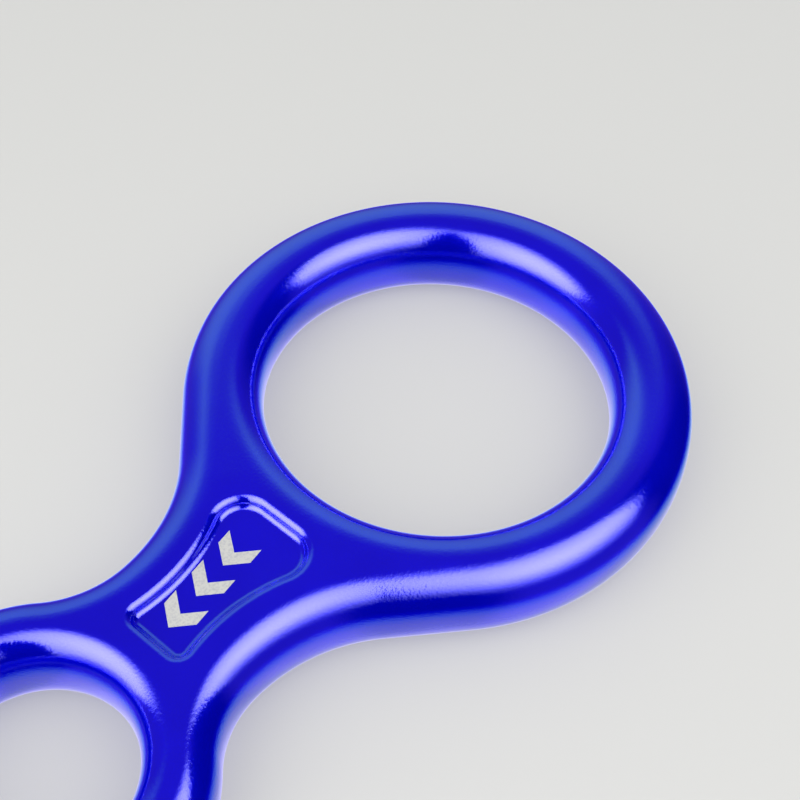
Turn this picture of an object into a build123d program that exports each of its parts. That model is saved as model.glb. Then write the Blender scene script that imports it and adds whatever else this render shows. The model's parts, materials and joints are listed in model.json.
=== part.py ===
from build123d import *
import os
from math import cos, radians, sin

# Rope descender of the figure-8 kind, forged in one piece.
# Frame: millimetres. The origin is the centre of the rope eye at mid-thickness, +X runs
# from the rope eye to the carabiner eye, and +Z is the face with the sunk name panel.

# Eyes
rope_eye_radius = 25.0
rope_ring_width = 11.5
carabiner_eye_radius = 12.5
carabiner_ring_width = 9.6
eye_spacing = 75.5

# Forging
thickness = 13.0
edge_rounding = 4.65

# Neck: straight shoulders leave the rope ring at this angle and curve into the waist
shoulder_angle = 47.0
waist_x = 50.3
waist_half_width = 12.0

# Sunk panel, alike on both faces of the neck
panel_start_x = 32.3
panel_end_x = 56.0
panel_half_width = 4.5
panel_narrowest_x = 49.3
panel_side_radius = 27.0
panel_wide_corner = 4.3
panel_narrow_corner = 1.9
panel_depth = 1.4
panel_wall_draft = 25.0
panel_lip_rounding = 1.3
panel_floor_rounding = 1.05

# Printed mark, three plain chevrons on the floor of the front panel
mark_centre_x = 45.2
mark_centre_y = -0.9
mark_turn = 6.0
mark_count = 3
mark_pitch = 5.4
chevron_length = 4.6
chevron_width = 5.2
chevron_band = 2.3
print_thickness = 0.04

face_z = thickness / 2
floor_z = face_z - panel_depth
rope_ring_radius = rope_eye_radius + rope_ring_width
carabiner_ring_radius = carabiner_eye_radius + carabiner_ring_width


def shoulder_flank_radius(normal):
    """Radius of the hollow flank between a straight shoulder and the waist."""
    beyond_ring = normal.X * waist_x + normal.Y * waist_half_width - rope_ring_radius
    return beyond_ring / (1 - normal.Y)


def carabiner_flank_radius():
    """Radius of the hollow flank between the waist and the carabiner ring."""
    distance = eye_spacing - waist_x
    spread = distance**2 + waist_half_width**2 - carabiner_ring_radius**2
    return spread / (2 * (carabiner_ring_radius - waist_half_width))


def arc_about(centre, start, end):
    """The shorter arc from start to end about a centre."""
    middle = (start + end) / 2 - centre
    return ThreePointArc(start, centre + middle.normalized() * (start - centre).length, end)


def plan_outline():
    """Outline of the forging seen from above: two rings and the hollow-sided neck."""
    waist = Vector(waist_x, waist_half_width)
    carabiner_centre = Vector(eye_spacing, 0)
    shoulder_normal = Vector(cos(radians(shoulder_angle)), sin(radians(shoulder_angle)))
    rope_flank = shoulder_flank_radius(shoulder_normal)
    rope_flank_centre = waist + Vector(0, rope_flank)
    carabiner_flank_centre = waist + Vector(0, carabiner_flank_radius())
    on_rope_ring = shoulder_normal * rope_ring_radius
    shoulder_end = rope_flank_centre - shoulder_normal * rope_flank
    towards_flank = (carabiner_flank_centre - carabiner_centre).normalized()
    on_carabiner_ring = carabiner_centre + towards_flank * carabiner_ring_radius
    with BuildLine() as flanks:
        Line(on_rope_ring, shoulder_end)
        arc_about(rope_flank_centre, shoulder_end, waist)
        arc_about(carabiner_flank_centre, waist, on_carabiner_ring)
    with BuildLine() as outline:
        add(flanks.edges())
        mirror(flanks.edges(), about=Plane.XZ)
        ThreePointArc(on_rope_ring, (-rope_ring_radius, 0), (on_rope_ring.X, -on_rope_ring.Y))
        ThreePointArc(
            on_carabiner_ring,
            (eye_spacing + carabiner_ring_radius, 0),
            (on_carabiner_ring.X, -on_carabiner_ring.Y),
        )
    return outline


def panel_side_y(x):
    """Half-width of the panel at x, where its hollow sides are arcs."""
    rise = panel_side_radius - (panel_side_radius**2 - (x - panel_narrowest_x) ** 2) ** 0.5
    return panel_half_width + rise


def panel_outline():
    """Outline of the panel: square ends, hollow sides and round corners."""
    wide_y = panel_side_y(panel_start_x)
    narrow_y = panel_side_y(panel_end_x)
    with BuildSketch() as outline:
        with BuildLine():
            Line((panel_start_x, -wide_y), (panel_start_x, wide_y))
            ThreePointArc(
                (panel_start_x, wide_y),
                (panel_narrowest_x, panel_half_width),
                (panel_end_x, narrow_y),
            )
            Line((panel_end_x, narrow_y), (panel_end_x, -narrow_y))
            ThreePointArc(
                (panel_end_x, -narrow_y),
                (panel_narrowest_x, -panel_half_width),
                (panel_start_x, -wide_y),
            )
        make_face()
        fillet(outline.vertices().sort_by(Axis.X)[:2], panel_wide_corner)
        fillet(outline.vertices().sort_by(Axis.X)[-2:], panel_narrow_corner)
    return outline.face()


def panel_pocket():
    """The material taken out for the front panel, with sloping walls."""
    top = Plane.XY.offset(face_z) * panel_outline()
    return extrude(top, amount=-panel_depth, taper=panel_wall_draft)


def rounded_blank():
    """Rings and neck in one piece, both eyes cut, every edge rounded."""
    blank = Pos(0, 0, -face_z) * extrude(make_face(plan_outline().edges()), amount=thickness)
    blank -= Cylinder(rope_eye_radius, 2 * thickness)
    blank -= Pos(eye_spacing, 0, 0) * Cylinder(carabiner_eye_radius, 2 * thickness)
    flat_faces = blank.faces().filter_by(Axis.Z)
    return fillet(flat_faces.edges(), edge_rounding)


def descender_body():
    """The forging: the rounded blank with a sunk panel on each face of the neck."""
    pocket = panel_pocket()
    forging = rounded_blank() - pocket - pocket.mirror(Plane.XY)
    flat_faces = forging.faces().filter_by(Axis.Z)
    floors = flat_faces.filter_by(lambda face: abs(face.center().Z) < floor_z + 0.01)
    forging = fillet(floors.edges(), panel_floor_rounding)
    flat_faces = forging.faces().filter_by(Axis.Z)
    lands = flat_faces.filter_by(lambda face: abs(face.center().Z) > floor_z + 0.01)
    neck_lands = [max(lands.group_by(Axis.Z)[end], key=lambda face: face.area) for end in (0, -1)]
    lips = [wire for land in neck_lands for wire in land.inner_wires() if panel_rim(wire)]
    return fillet([edge for lip in lips for edge in lip.edges()], panel_lip_rounding)


def panel_rim(wire):
    """Whether a loop of edges lies round a panel rather than round an eye."""
    box = wire.bounding_box()
    return box.min.X > rope_eye_radius and box.max.X < eye_spacing - carabiner_eye_radius


def chevron():
    """One chevron pointing to +X, centred on its own length and width."""
    half_length = chevron_length / 2
    half_width = chevron_width / 2
    notch = half_length - chevron_band
    with BuildSketch() as outline:
        with BuildLine():
            Polyline(
                (-half_length, -half_width),
                (-half_length + chevron_band, -half_width),
                (half_length, 0),
                (-half_length + chevron_band, half_width),
                (-half_length, half_width),
                (notch, 0),
                close=True,
            )
        make_face()
    return outline.face()


def printed_mark():
    """A row of chevrons printed on the floor of the front panel."""
    row = Pos(mark_centre_x, mark_centre_y, floor_z) * Rot(0, 0, mark_turn)
    middle = (mark_count - 1) / 2
    prints = []
    for index in range(mark_count):
        place = row * Pos((index - middle) * mark_pitch, 0, 0)
        prints.append(place * extrude(chevron(), amount=print_thickness))
    return Compound(children=prints)


os.makedirs("parts", exist_ok=True)
export_step(descender_body(), "parts/descender_body.step")
export_step(printed_mark(), "parts/printed_mark.step")
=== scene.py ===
import json
from math import cos, sin, pi, radians, sqrt, atan2

import bpy
import numpy as np
from mathutils import Matrix, Vector
from mathutils.geometry import delaunay_2d_cdt


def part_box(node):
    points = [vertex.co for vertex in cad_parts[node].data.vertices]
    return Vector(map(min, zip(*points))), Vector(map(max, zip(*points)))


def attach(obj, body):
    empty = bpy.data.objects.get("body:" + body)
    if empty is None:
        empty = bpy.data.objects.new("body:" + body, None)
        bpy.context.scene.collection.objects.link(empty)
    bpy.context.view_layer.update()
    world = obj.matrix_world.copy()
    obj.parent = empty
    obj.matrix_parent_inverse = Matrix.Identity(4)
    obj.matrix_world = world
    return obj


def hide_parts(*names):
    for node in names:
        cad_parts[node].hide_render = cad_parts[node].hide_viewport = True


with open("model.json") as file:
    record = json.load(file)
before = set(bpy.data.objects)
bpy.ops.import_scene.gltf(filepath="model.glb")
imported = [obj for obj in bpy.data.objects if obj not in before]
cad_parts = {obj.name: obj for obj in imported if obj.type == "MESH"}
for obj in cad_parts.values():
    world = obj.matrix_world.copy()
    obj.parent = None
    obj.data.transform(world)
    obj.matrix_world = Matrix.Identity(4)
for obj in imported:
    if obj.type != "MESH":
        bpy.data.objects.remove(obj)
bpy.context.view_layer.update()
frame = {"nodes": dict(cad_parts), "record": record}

MM = 0.001

# ---------------------------------------------------------------- sizes read from the frame
body_low, body_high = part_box("descender_body")
mark_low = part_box("printed_mark")[0]
mounts = {mount["name"]: mount for mount in frame["record"]["mounts"]}
rope_eye = mounts["rope_eye"]["dims"]["r_mm"] * MM
carabiner_eye = mounts["carabiner_eye"]["dims"]["r_mm"] * MM
eye_spacing = mounts["carabiner_eye"]["pos_m"][0]
rope_ring = -body_low.x
carabiner_ring = body_high.x - eye_spacing
half_thickness = body_high.z
panel_floor = mark_low.z

# ---------------------------------------------------------------- sizes of the forging
SHOULDER_ANGLE = radians(47)
WAIST_X = 50.3 * MM
WAIST_HALF_WIDTH = 12.0 * MM
ROUNDING_POWER = 2.35
PANEL_START_X = 32.65 * MM
PANEL_END_X = 55.65 * MM
PANEL_HALF_WIDTH = 4.2 * MM
PANEL_NARROWEST_X = 49.3 * MM
PANEL_SIDE_RADIUS = 27.0 * MM
PANEL_WIDE_CORNER = 4.0 * MM
PANEL_NARROW_CORNER = 1.6 * MM
PANEL_LIP = 1.3 * MM
PANEL_FOOT = 1.05 * MM
PANEL_WALL_TILT = radians(65)
# The neck's rounding is as wide as the rope ring's up to the first x, and as the carabiner
# ring's from the second.
BAR_BLEND_START_X = 38 * MM
BAR_BLEND_END_X = 64 * MM
# Half the width of the flat strip kept along the crown, so that two roundings never meet.
BAR_SEAM = 0.05 * MM

# ---------------------------------------------------------------- mesh density
OUTLINE_STEP = 0.5 * MM
PANEL_STEP = 0.22 * MM
QUARTER_ROWS = 14
FILLET_ROWS = 8
FEWEST_ARC_STEPS = 4
FEWEST_LINE_STEPS = 2
MERGE_DISTANCE = 1e-7  # in millimetres


def arc_points(centre, radius, start, end, step):
    """Points and left-hand normals along an arc, without its last point."""
    count = max(FEWEST_ARC_STEPS, round(abs(end - start) * radius / step))
    angles = start + (end - start) * np.arange(count) / count
    outward = np.stack([np.cos(angles), np.sin(angles)], 1)
    side = -1.0 if end > start else 1.0
    return np.array(centre) + radius * outward, side * outward


def line_points(start, end, step):
    """Points and left-hand normals along a straight run, without its last point."""
    start, end = np.array(start, float), np.array(end, float)
    length = np.linalg.norm(end - start)
    count = max(FEWEST_LINE_STEPS, round(length / step))
    points = start + (end - start) * (np.arange(count) / count)[:, None]
    along = (end - start) / length
    return points, np.tile([-along[1], along[0]], (count, 1))


def joined(runs):
    """The points and the normals of several runs, each as one array."""
    return np.concatenate([run[0] for run in runs]), np.concatenate([run[1] for run in runs])


def forging_outline():
    """Counter-clockwise outline, its normals into the metal, and the rounding's width.

    On each side a tangent line leaves the rope ring at the shoulder angle and an arc takes it to
    the waist; a second arc, tangent there too, leads into the carabiner ring."""
    normal = Vector((cos(SHOULDER_ANGLE), sin(SHOULDER_ANGLE)))
    waist = Vector((WAIST_X, WAIST_HALF_WIDTH))
    near = (normal.dot(waist) - rope_ring) / (1 - normal.y)
    span = eye_spacing - WAIST_X
    far = span**2 + WAIST_HALF_WIDTH**2 - carabiner_ring**2
    far /= 2 * (carabiner_ring - WAIST_HALF_WIDTH)
    far_angle = atan2(WAIST_HALF_WIDTH + far, span)
    up, down = WAIST_HALF_WIDTH + near, WAIST_HALF_WIDTH + far
    ring_end = normal * rope_ring
    shoulder_end = Vector((WAIST_X, up)) - normal * near
    turn = SHOULDER_ANGLE
    runs = [
        arc_points((0, 0), rope_ring, turn, 2 * pi - turn, OUTLINE_STEP),
        line_points((ring_end.x, -ring_end.y), (shoulder_end.x, -shoulder_end.y), OUTLINE_STEP),
        arc_points((WAIST_X, -up), near, pi - turn, pi / 2, OUTLINE_STEP),
        arc_points((WAIST_X, -down), far, pi / 2, far_angle, OUTLINE_STEP),
        arc_points((eye_spacing, 0), carabiner_ring, far_angle - pi, pi - far_angle, OUTLINE_STEP),
        arc_points((WAIST_X, down), far, -far_angle, -pi / 2, OUTLINE_STEP),
        arc_points((WAIST_X, up), near, -pi / 2, turn - pi, OUTLINE_STEP),
        line_points(shoulder_end, ring_end, OUTLINE_STEP),
    ]
    points, inward = joined(runs)
    blend = (points[:, 0] - BAR_BLEND_START_X) / (BAR_BLEND_END_X - BAR_BLEND_START_X)
    blend = np.clip(blend, 0, 1)
    blend = blend * blend * (3 - 2 * blend)
    wide = (rope_ring - rope_eye) / 2 - BAR_SEAM
    narrow = (carabiner_ring - carabiner_eye) / 2 - BAR_SEAM
    return points, inward, wide + (narrow - wide) * blend


def eye_outline(centre_x, radius, ring_radius):
    """Clockwise circle of an eye, its normals into the metal, and the rounding's width."""
    points, inward = arc_points((centre_x, 0), radius, 2 * pi, 0, OUTLINE_STEP)
    return points, inward, np.full(len(points), (ring_radius - radius) / 2 - BAR_SEAM)


def panel_outline():
    """Counter-clockwise outline of the panel half-way down its wall; normals point inwards."""
    side_y = PANEL_HALF_WIDTH + PANEL_SIDE_RADIUS
    side, waist, wide, narrow = (
        PANEL_SIDE_RADIUS, PANEL_NARROWEST_X, PANEL_WIDE_CORNER, PANEL_NARROW_CORNER
    )
    wide_x = PANEL_START_X + wide
    wide_y = side_y - sqrt((side + wide) ** 2 - (waist - wide_x) ** 2)
    wide_angle = atan2(side_y - wide_y, waist - wide_x)
    narrow_x = PANEL_END_X - narrow
    narrow_y = side_y - sqrt((side + narrow) ** 2 - (narrow_x - waist) ** 2)
    narrow_angle = atan2(side_y - narrow_y, narrow_x - waist)
    return joined([
        line_points((PANEL_START_X, wide_y), (PANEL_START_X, -wide_y), PANEL_STEP),
        arc_points((wide_x, -wide_y), wide, pi, 2 * pi - wide_angle, PANEL_STEP),
        arc_points((waist, -side_y), side, pi - wide_angle, narrow_angle, PANEL_STEP),
        arc_points((narrow_x, -narrow_y), narrow, narrow_angle - pi, 0, PANEL_STEP),
        line_points((PANEL_END_X, -narrow_y), (PANEL_END_X, narrow_y), PANEL_STEP),
        arc_points((narrow_x, narrow_y), narrow, 0, pi - narrow_angle, PANEL_STEP),
        arc_points((waist, side_y), side, -narrow_angle, wide_angle - pi, PANEL_STEP),
        arc_points((wide_x, wide_y), wide, wide_angle, pi, PANEL_STEP),
    ])


def rounding_profile():
    """(inward share, height share) of the rounded edge, from the underside up to the top."""
    angles = np.linspace(-pi / 2, pi / 2, 2 * QUARTER_ROWS + 1)
    inward = 1 - np.abs(np.cos(angles)) ** (2 / ROUNDING_POWER)
    height = np.sign(np.sin(angles)) * np.abs(np.sin(angles)) ** (2 / ROUNDING_POWER)
    return inward, height


def wall_profile():
    """(distance inwards, depth) across the panel's lip, wall and foot; 0 is half-way across."""
    depth = half_thickness - panel_floor
    slope = depth - (PANEL_LIP + PANEL_FOOT) * (1 - cos(PANEL_WALL_TILT))
    run = slope / np.tan(PANEL_WALL_TILT)
    span = (PANEL_LIP + PANEL_FOOT) * sin(PANEL_WALL_TILT) + run
    lip = np.linspace(0, PANEL_WALL_TILT, FILLET_ROWS + 1)
    foot = np.linspace(PANEL_WALL_TILT, 0, FILLET_ROWS + 1)
    across = np.concatenate([PANEL_LIP * np.sin(lip), span - PANEL_FOOT * np.sin(foot)])
    down = np.concatenate([PANEL_LIP * (1 - np.cos(lip)), depth - PANEL_FOOT * (1 - np.cos(foot))])
    return across - span / 2, down


class Shell:
    """Collects the vertices and faces of one closed mesh."""

    def __init__(self):
        self.points = []
        self.faces = []
        self.count = 0

    def add_rows(self, rows):
        """Stacks closed loops of equal length and joins them by quads; returns first and last."""
        length = len(rows[0])
        first = self.count
        for row in rows:
            self.points.append(row)
        self.count += length * len(rows)
        index = first + np.arange(length * len(rows)).reshape(len(rows), length)
        turned = np.roll(index, -1, axis=1)
        quads = np.stack([index[:-1], turned[:-1], turned[1:], index[1:]], -1)
        self.faces.extend(quads.reshape(-1, 4).tolist())
        return index[0], index[-1]

    def fill(self, outer, holes, upward):
        """Triangulates the flat region between existing loops."""
        everything = np.concatenate(self.points)
        loops = [outer] + holes
        ids = np.concatenate(loops)
        flat = [Vector((x / MM, y / MM)) for x, y in everything[ids, :2]]
        edges = []
        start = 0
        for loop in loops:
            n = len(loop)
            edges += [(start + k, start + (k + 1) % n) for k in range(n)]
            start += n
        out = delaunay_2d_cdt(flat, edges, [], 0, MERGE_DISTANCE)
        where = np.array([origin[0] if origin else -1 for origin in out[3]])
        flat_xy = np.array([tuple(v) for v in out[0]])
        rings = [np.array([tuple(flat[i]) for i in range(a, b)]) for a, b in self.spans(loops)]
        for triangle in out[2]:
            middle = flat_xy[list(triangle)].mean(0)
            if inside(middle, rings[0]) and not any(inside(middle, ring) for ring in rings[1:]):
                corners = [int(ids[where[v]]) for v in triangle]
                self.faces.append(corners if upward else corners[::-1])

    @staticmethod
    def spans(loops):
        """(start, end) of each loop in the joined list of ids."""
        ends = np.cumsum([0] + [len(loop) for loop in loops])
        return list(zip(ends[:-1], ends[1:]))

    def mesh(self, name):
        """The collected faces as one smooth-shaded mesh."""
        mesh = bpy.data.meshes.new(name)
        mesh.from_pydata(np.concatenate(self.points).tolist(), [], self.faces)
        mesh.validate()
        mesh.update()
        mesh.polygons.foreach_set("use_smooth", np.ones(len(mesh.polygons), bool))
        return mesh


def inside(point, ring):
    """Whether a point lies inside a closed loop, by counting crossings."""
    x, y = point
    a, b = ring, np.roll(ring, -1, axis=0)
    straddles = (a[:, 1] > y) != (b[:, 1] > y)
    a, b = a[straddles], b[straddles]
    crossing = a[:, 0] + (y - a[:, 1]) / (b[:, 1] - a[:, 1]) * (b[:, 0] - a[:, 0])
    return np.count_nonzero(crossing > x) % 2 == 1


def edge_rows(outline):
    """The rounded edge swept along an outline, from the underside's flat to the top's."""
    points, inward, reach = outline
    rows = []
    for share, height in zip(*rounding_profile()):
        flat = points + inward * (reach * share)[:, None]
        rows.append(np.column_stack([flat, np.full(len(flat), half_thickness * height)]))
    return rows


def panel_rows(side):
    """The panel's wall swept round its outline, on the +Z face (side 1) or the -Z face (-1)."""
    points, inward = panel_outline()
    rows = []
    for across, down in zip(*wall_profile()):
        flat = points + inward * across
        rows.append(np.column_stack([flat, np.full(len(flat), side * (half_thickness - down))]))
    return rows


def build_body():
    """The forging as one closed mesh: rounded edges, flat crowns and a panel on each face."""
    shell = Shell()
    outer_low, outer_high = shell.add_rows(edge_rows(forging_outline()))
    eyes = [
        shell.add_rows(edge_rows(eye_outline(0, rope_eye, rope_ring))),
        shell.add_rows(edge_rows(eye_outline(eye_spacing, carabiner_eye, carabiner_ring))),
    ]
    for side, outer, end in ((1, outer_high, 1), (-1, outer_low, 0)):
        first_face = len(shell.faces)
        lip, foot = shell.add_rows(panel_rows(side))
        if side < 0:
            shell.faces[first_face:] = [face[::-1] for face in shell.faces[first_face:]]
        shell.fill(outer, [eye[end] for eye in eyes] + [lip], side > 0)
        shell.fill(foot, [], side > 0)
    body = bpy.data.objects.new("forged_body", shell.mesh("forged_body"))
    bpy.context.scene.collection.objects.link(body)
    return body


# ---------------------------------------------------------------- camera
CAMERA_PLACE = Vector((99.98, 72.12, 160.10)) * MM
CAMERA_FORWARD = Vector((-0.4769, -0.3765, -0.7942))
CAMERA_DOWN = Vector((0.5979, 0.5233, -0.6071))
CAMERA_LENS = 62.87
CAMERA_SENSOR = 36  # like the lens, in millimetres of the camera
CAMERA_CLIP = (0.01, 20)


def add_camera():
    forward = CAMERA_FORWARD.normalized()
    right = (-CAMERA_DOWN).cross(-forward).normalized()
    up = (-forward).cross(right)
    camera = bpy.data.objects.new("camera", bpy.data.cameras.new("camera"))
    bpy.context.scene.collection.objects.link(camera)
    turn = Matrix((right, up, -forward)).transposed().to_4x4()
    camera.matrix_world = Matrix.Translation(CAMERA_PLACE) @ turn
    camera.data.sensor_width = CAMERA_SENSOR
    camera.data.lens = CAMERA_LENS
    camera.data.clip_start, camera.data.clip_end = CAMERA_CLIP
    bpy.context.scene.camera = camera


class Nodes:
    """A short way to add shader nodes and link them."""

    def __init__(self, tree):
        self.tree = tree

    def add(self, kind, settings=None, **inputs):
        """Adds a node; settings are its properties, and inputs are values or sockets."""
        node = self.tree.nodes.new(kind)
        for name, value in (settings or {}).items():
            setattr(node, name, value)
        for name, value in inputs.items():
            self.feed(node, name.replace("_", " "), value)
        return node

    def feed(self, node, name, value):
        """Links a socket to an input, or sets the input's value; a digit is its index."""
        socket = node.inputs[int(name)] if name.strip().isdigit() else node.inputs[name]
        if isinstance(value, bpy.types.NodeSocket):
            self.tree.links.new(value, socket)
        else:
            socket.default_value = value

    def maths(self, operation, first, second=0.0):
        node = self.tree.nodes.new("ShaderNodeMath")
        node.operation = operation
        self.feed(node, "0", first)
        self.feed(node, "1", second)
        return node.outputs[0]

    def noise(self, place, scale, detail, roughness):
        node = self.add("ShaderNodeTexNoise", Vector=place, Scale=scale)
        self.feed(node, "Detail", detail)
        self.feed(node, "Roughness", roughness)
        return node.outputs["Fac"]

    def ramp(self, value, low, high, from_value=0.0, to_value=1.0):
        """A smooth step of value between low and high."""
        node = self.tree.nodes.new("ShaderNodeMapRange")
        node.interpolation_type = "SMOOTHSTEP"
        self.feed(node, "Value", value)
        self.feed(node, "From Min", low)
        self.feed(node, "From Max", high)
        self.feed(node, "To Min", from_value)
        self.feed(node, "To Max", to_value)
        return node.outputs["Result"]

    def vectors(self, operation, first, second):
        """A vector operation; gives its vector, or its value for a dot product."""
        node = self.add("ShaderNodeVectorMath", {"operation": operation})
        self.feed(node, "0", first)
        self.feed(node, "1", second)
        return node.outputs["Value" if operation == "DOT_PRODUCT" else "Vector"]


def new_material(name):
    """A material with its node helper and its shader."""
    material = bpy.data.materials.new(name)
    material.use_nodes = True
    tree = material.node_tree
    return material, Nodes(tree), tree.nodes["Principled BSDF"]


# ---------------------------------------------------------------- materials
# Noise scales are in features per metre of the part.
DYE_DEEP = (0.001, 0.002, 0.72, 1)
DYE_THIN = (0.002, 0.003, 0.80, 1)
DYE_CLOUDS = 90.0
METAL_SHARE = 0.5
METAL_ROUGHNESS = (0.13, 0.19)
SEALED_LAYER_IOR = 1.76
SEALED_LAYER_ROUGHNESS = 0.06
PEEL_GRAIN = 2600.0
PEEL_HEIGHT = 0.015 * MM
FLANK_GRAIN = 4200.0
FLANK_RELIEF = 1.6
# Shares of the half-thickness: the flanks' relief starts below the first and is full at the second.
FLANK_EDGES = (0.85, 0.35)

INK_THIN = (0.46, 0.46, 0.48, 1)
INK_FULL = (0.57, 0.57, 0.545, 1)
INK_ROUGHNESS = (0.5, 0.7)
INK_GRAIN = 3200.0
INK_HEIGHT = 0.02 * MM

TABLE_REACH = 3.0
TABLE_PAINT = (0.37, 0.37, 0.363, 1)
TABLE_GLOW = (1.0, 1.0, 0.98, 1)
TABLE_GLOW_STRENGTH = 0.33
TABLE_ROUGHNESS = 0.7


def anodised():
    """Deep blue dyed and sealed aluminium, with a faint orange peel and blasted flanks."""
    material, nodes, shader = new_material("blue_anodised")
    place = nodes.add("ShaderNodeTexCoord").outputs["Object"]
    clouds = nodes.noise(place, DYE_CLOUDS, 3.0, 0.55)
    peel = nodes.noise(place, PEEL_GRAIN, 2.0, 0.6)
    dye = nodes.add("ShaderNodeMix", {"data_type": "RGBA"})
    nodes.feed(dye, "Factor", nodes.ramp(clouds, 0.3, 0.7))
    dye.inputs["A"].default_value = DYE_DEEP
    dye.inputs["B"].default_value = DYE_THIN
    nodes.feed(shader, "Base Color", dye.outputs["Result"])
    shader.inputs["Metallic"].default_value = METAL_SHARE
    nodes.feed(shader, "Roughness", nodes.ramp(peel, 0.3, 0.7, *METAL_ROUGHNESS))
    shader.inputs["Specular IOR Level"].default_value = 0
    shader.inputs["Coat Weight"].default_value = 1
    shader.inputs["Coat Roughness"].default_value = SEALED_LAYER_ROUGHNESS
    shader.inputs["Coat IOR"].default_value = SEALED_LAYER_IOR
    height = nodes.add("ShaderNodeSeparateXYZ", Vector=place).outputs["Z"]
    start, full = (share * half_thickness for share in FLANK_EDGES)
    flank = nodes.ramp(nodes.maths("ABSOLUTE", height), start, full)
    grain = nodes.noise(place, FLANK_GRAIN, 1.0, 0.5)
    blasted = nodes.maths("MULTIPLY", grain, nodes.maths("MULTIPLY", flank, FLANK_RELIEF))
    relief = nodes.maths("ADD", peel, blasted)
    bump = nodes.add("ShaderNodeBump", Strength=1.0, Distance=PEEL_HEIGHT, Height=relief)
    nodes.feed(shader, "Normal", bump.outputs["Normal"])
    nodes.feed(shader, "Coat Normal", bump.outputs["Normal"])
    return material


def pale_print():
    """Pale ink, thinner and duller where the blue of the floor grins through."""
    material, nodes, shader = new_material("pale_print")
    place = nodes.add("ShaderNodeTexCoord").outputs["Object"]
    mottle = nodes.noise(place, INK_GRAIN, 4.0, 0.6)
    ink = nodes.add("ShaderNodeMix", {"data_type": "RGBA"})
    nodes.feed(ink, "Factor", nodes.ramp(mottle, 0.34, 0.58))
    ink.inputs["A"].default_value = INK_THIN
    ink.inputs["B"].default_value = INK_FULL
    nodes.feed(shader, "Base Color", ink.outputs["Result"])
    nodes.feed(shader, "Roughness", nodes.ramp(mottle, 0.3, 0.7, *INK_ROUGHNESS))
    film = nodes.add("ShaderNodeBump", Strength=0.6, Distance=INK_HEIGHT, Height=mottle)
    nodes.feed(shader, "Normal", film.outputs["Normal"])
    return material


def add_floor():
    """A matt, slightly luminous table under the part, which mirror rays pass through."""
    mesh = bpy.data.meshes.new("table")
    sides = ((-1, -1), (1, -1), (1, 1), (-1, 1))
    corners = [(x * TABLE_REACH, y * TABLE_REACH, body_low.z) for x, y in sides]
    mesh.from_pydata(corners, [], [(0, 1, 2, 3)])
    floor = bpy.data.objects.new("table", mesh)
    bpy.context.scene.collection.objects.link(floor)
    material, _, shader = new_material("table")
    shader.inputs["Base Color"].default_value = TABLE_PAINT
    shader.inputs["Emission Color"].default_value = TABLE_GLOW
    shader.inputs["Emission Strength"].default_value = TABLE_GLOW_STRENGTH
    shader.inputs["Roughness"].default_value = TABLE_ROUGHNESS
    shader.inputs["Specular IOR Level"].default_value = 0.2
    mesh.materials.append(material)
    floor.visible_glossy = False


# ---------------------------------------------------------------- studio
# Directions are (azimuth, elevation) in degrees. The azimuth is counted in the studio, where the
# camera stands at -90, and this turns it into the part's own frame.
STUDIO_TURN = radians(-231.706)

SOFTBOX_DISTANCE = 0.4
SOFTBOX_SIZE = 0.9
SOFTBOX_REACH = 0.45
SOFTBOX_FALLOFF = 2.0
# How much farther off the mirrored light stands, as two lights in one plane hide each other.
SEEN_GAP = 0.02

# Each softbox edge is a direction that the light is kept on the side of, how far off the plane
# through the object the edge lies, and how soft it is.
RIGHT_SOFTBOX = (-29, 52)
RIGHT_GLOWS = (1.5, 6.3)
RIGHT_EDGES = [
    ((13.6, 2), 0, 0.03),
    ((-106, 21), 0, 0.05),
    ((0, 90), 0.4, 0.4),
    ((-29, -5), 0, 0.15),
]
LEFT_SOFTBOX = (-145, 41)
LEFT_GLOWS = (1.6, 6.5)
LEFT_EDGES = [
    ((160, 2.5), 0, 0.03),
    ((-71, 22), 0, 0.07),
    ((-87, 0), 0, 0.2),
    ((0, 90), 0.12, 0.2),
    ((-145, -5), 0, 0.15),
]

SWEEP_AZIMUTH = 105
SWEEP_COLOUR = (0.35, 0.9, 0.2)
CEILING_AZIMUTH = 120
HAZE_AZIMUTHS = (-32, -148)
CEILING_COLOUR = (0.13, 0.07, 0.4)
PAPER_EDGE = -27
# Per colour channel: the elevations where the paper is full and where it ends, and its level.
PAPER_CHANNELS = {
    "X": (-57, PAPER_EDGE, 0.68),
    "Y": (-45, PAPER_EDGE, 0.72),
    "Z": (-38, -15, 0.78),
}
BACKDROP_COLOUR = (0.72, 0.72, 0.71)
FILL_COLOUR = (0.63, 0.63, 0.62)


def studio_direction(azimuth, elevation):
    """Unit vector of a studio direction, in the part's frame."""
    az, el = radians(azimuth) + STUDIO_TURN, radians(elevation)
    return Vector((cos(el) * cos(az), cos(el) * sin(az), sin(el)))


def rise(elevation):
    """Height of the unit vector at an elevation."""
    return sin(radians(elevation))


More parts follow.
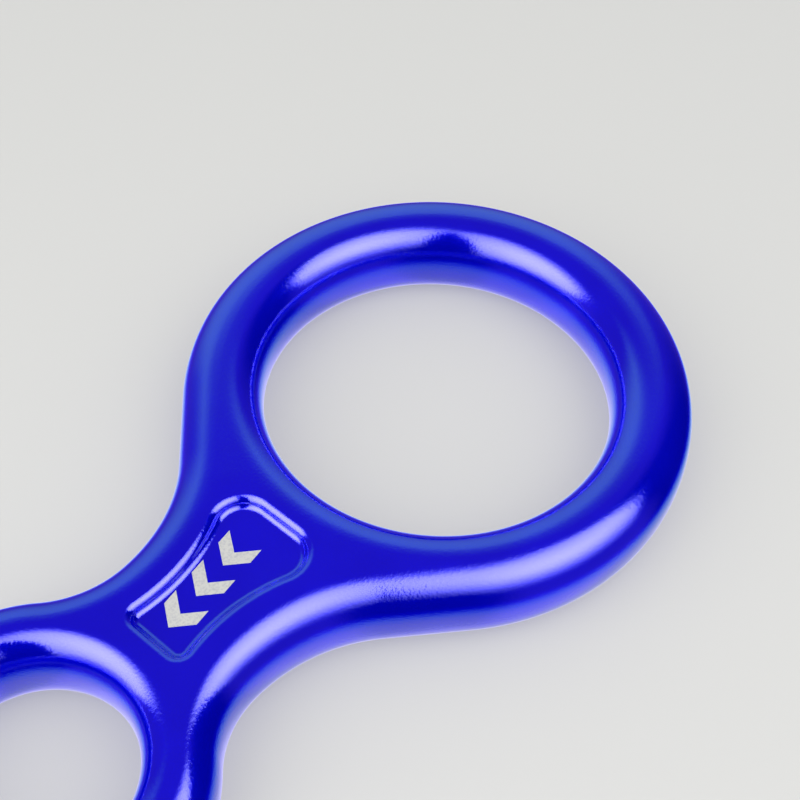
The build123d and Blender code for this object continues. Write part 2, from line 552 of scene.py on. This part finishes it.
def softbox(name, centre, edges, glows):
    """A softbox, brightest towards its centre and trimmed by soft-edged planes.

    It is two lights: one is cast on surfaces, and one is only seen in mirror reflections. Their
    glows are set apart."""
    middle = studio_direction(*centre)
    for role, radiance, gap in zip(("cast", "seen"), glows, (0.0, SEEN_GAP)):
        data = bpy.data.lights.new(name + "_" + role, "AREA")
        data.shape = "SQUARE"
        data.size = SOFTBOX_SIZE
        data.energy = radiance * pi * SOFTBOX_SIZE**2
        data.use_nodes = True
        nodes = Nodes(data.node_tree)
        place = nodes.add("ShaderNodeNewGeometry").outputs["Position"]
        away = nodes.add("ShaderNodeVectorMath", {"operation": "NORMALIZE"})
        nodes.feed(away, "0", place)
        away = away.outputs["Vector"]
        radial = nodes.add("ShaderNodeMapRange", Value=nodes.vectors("DOT_PRODUCT", away, middle))
        radial.inputs["From Min"].default_value = SOFTBOX_REACH
        strength = nodes.maths("POWER", radial.outputs["Result"], SOFTBOX_FALLOFF)
        for direction, offset, softness in edges:
            reached = nodes.vectors("DOT_PRODUCT", away, studio_direction(*direction))
            edge = nodes.ramp(reached, offset - softness, offset + softness)
            strength = nodes.maths("MULTIPLY", strength, edge)
        if role == "seen":
            # Kept off paths from the matt table, or the metal would throw blue patches onto it.
            bounced = nodes.add("ShaderNodeLightPath").outputs["Diffuse Depth"]
            first = nodes.maths("LESS_THAN", bounced, 0.5)
            strength = nodes.maths("MULTIPLY", strength, first)
        nodes.feed(data.node_tree.nodes["Emission"], "Strength", strength)
        light = bpy.data.objects.new(name + "_" + role, data)
        light.location = (SOFTBOX_DISTANCE + gap) * middle
        light.rotation_euler = light.location.to_track_quat("Z", "Y").to_euler()
        light.visible_diffuse = role == "cast"
        light.visible_glossy = role == "seen"
        light.visible_camera = False
        bpy.context.scene.collection.objects.link(light)


def add_world():
    """The studio that mirror rays see: a sweep behind, a dim ceiling and pale paper below.

    Camera rays see an even backdrop instead, and all other rays an even fill."""
    world = bpy.data.worlds.new("studio")
    world.use_nodes = True
    nodes = Nodes(world.node_tree)
    direction = nodes.add("ShaderNodeTexCoord").outputs["Generated"]
    height = nodes.add("ShaderNodeSeparateXYZ", Vector=direction).outputs["Z"]
    bearing = nodes.add("ShaderNodeVectorMath", {"operation": "NORMALIZE"})
    nodes.feed(bearing, "0", nodes.vectors("MULTIPLY", direction, (1, 1, 0)))

    def towards(azimuth, low, high):
        """1 in the directions near an azimuth, fading to 0 away from it."""
        facing = studio_direction(azimuth, 0)
        nearness = nodes.vectors("DOT_PRODUCT", bearing.outputs["Vector"], facing)
        return nodes.ramp(nearness, low, high)

    low = nodes.ramp(height, rise(35), rise(57), 1.0, 0.0)
    rising = nodes.ramp(height, rise(-20), rise(32), 0.0, 1.0)
    sweep = nodes.maths("MULTIPLY", low, towards(SWEEP_AZIMUTH, 0.68, 0.93))
    sweep = nodes.maths("MULTIPLY", sweep, rising)

    ceiling = towards(CEILING_AZIMUTH, 0.0, 0.6)
    for azimuth in HAZE_AZIMUTHS:
        ceiling = nodes.maths("ADD", ceiling, towards(azimuth, 0.8, 0.94))
    dim = nodes.add("ShaderNodeVectorMath", {"operation": "SCALE"})
    dim.inputs[0].default_value = CEILING_COLOUR
    nodes.feed(dim, "Scale", ceiling)

    paper = nodes.add("ShaderNodeCombineXYZ")
    for channel, (full, end, level) in PAPER_CHANNELS.items():
        nodes.feed(paper, channel, nodes.ramp(height, rise(full), rise(end), level, 0.0))

    tinted = nodes.vectors("MULTIPLY", sweep, SWEEP_COLOUR)
    above = nodes.vectors("ADD", tinted, dim.outputs["Vector"])
    seen = nodes.vectors("ADD", above, paper.outputs["Vector"])
    path = nodes.add("ShaderNodeLightPath")
    shown = nodes.add("ShaderNodeMix", {"data_type": "VECTOR"})
    nodes.feed(shown, "Factor", path.outputs["Is Glossy Ray"])
    shown.inputs["A"].default_value = FILL_COLOUR
    nodes.feed(shown, "B", seen)
    final = nodes.add("ShaderNodeMix", {"data_type": "VECTOR"})
    nodes.feed(final, "Factor", path.outputs["Is Camera Ray"])
    nodes.feed(final, "A", shown.outputs["Result"])
    final.inputs["B"].default_value = BACKDROP_COLOUR
    nodes.feed(world.node_tree.nodes["Background"], "Color", final.outputs["Result"])
    bpy.context.scene.world = world


# ---------------------------------------------------------------- the scene
add_camera()
body = build_body()
body.data.materials.append(anodised())
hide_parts("descender_body")
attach(body, "root")
mark = frame["nodes"]["printed_mark"]
mark.data.materials.clear()
mark.data.materials.append(pale_print())
add_floor()
softbox("softbox_right", RIGHT_SOFTBOX, RIGHT_EDGES, RIGHT_GLOWS)
softbox("softbox_left", LEFT_SOFTBOX, LEFT_EDGES, LEFT_GLOWS)
add_world()
bpy.context.scene.view_settings.view_transform = "Standard"
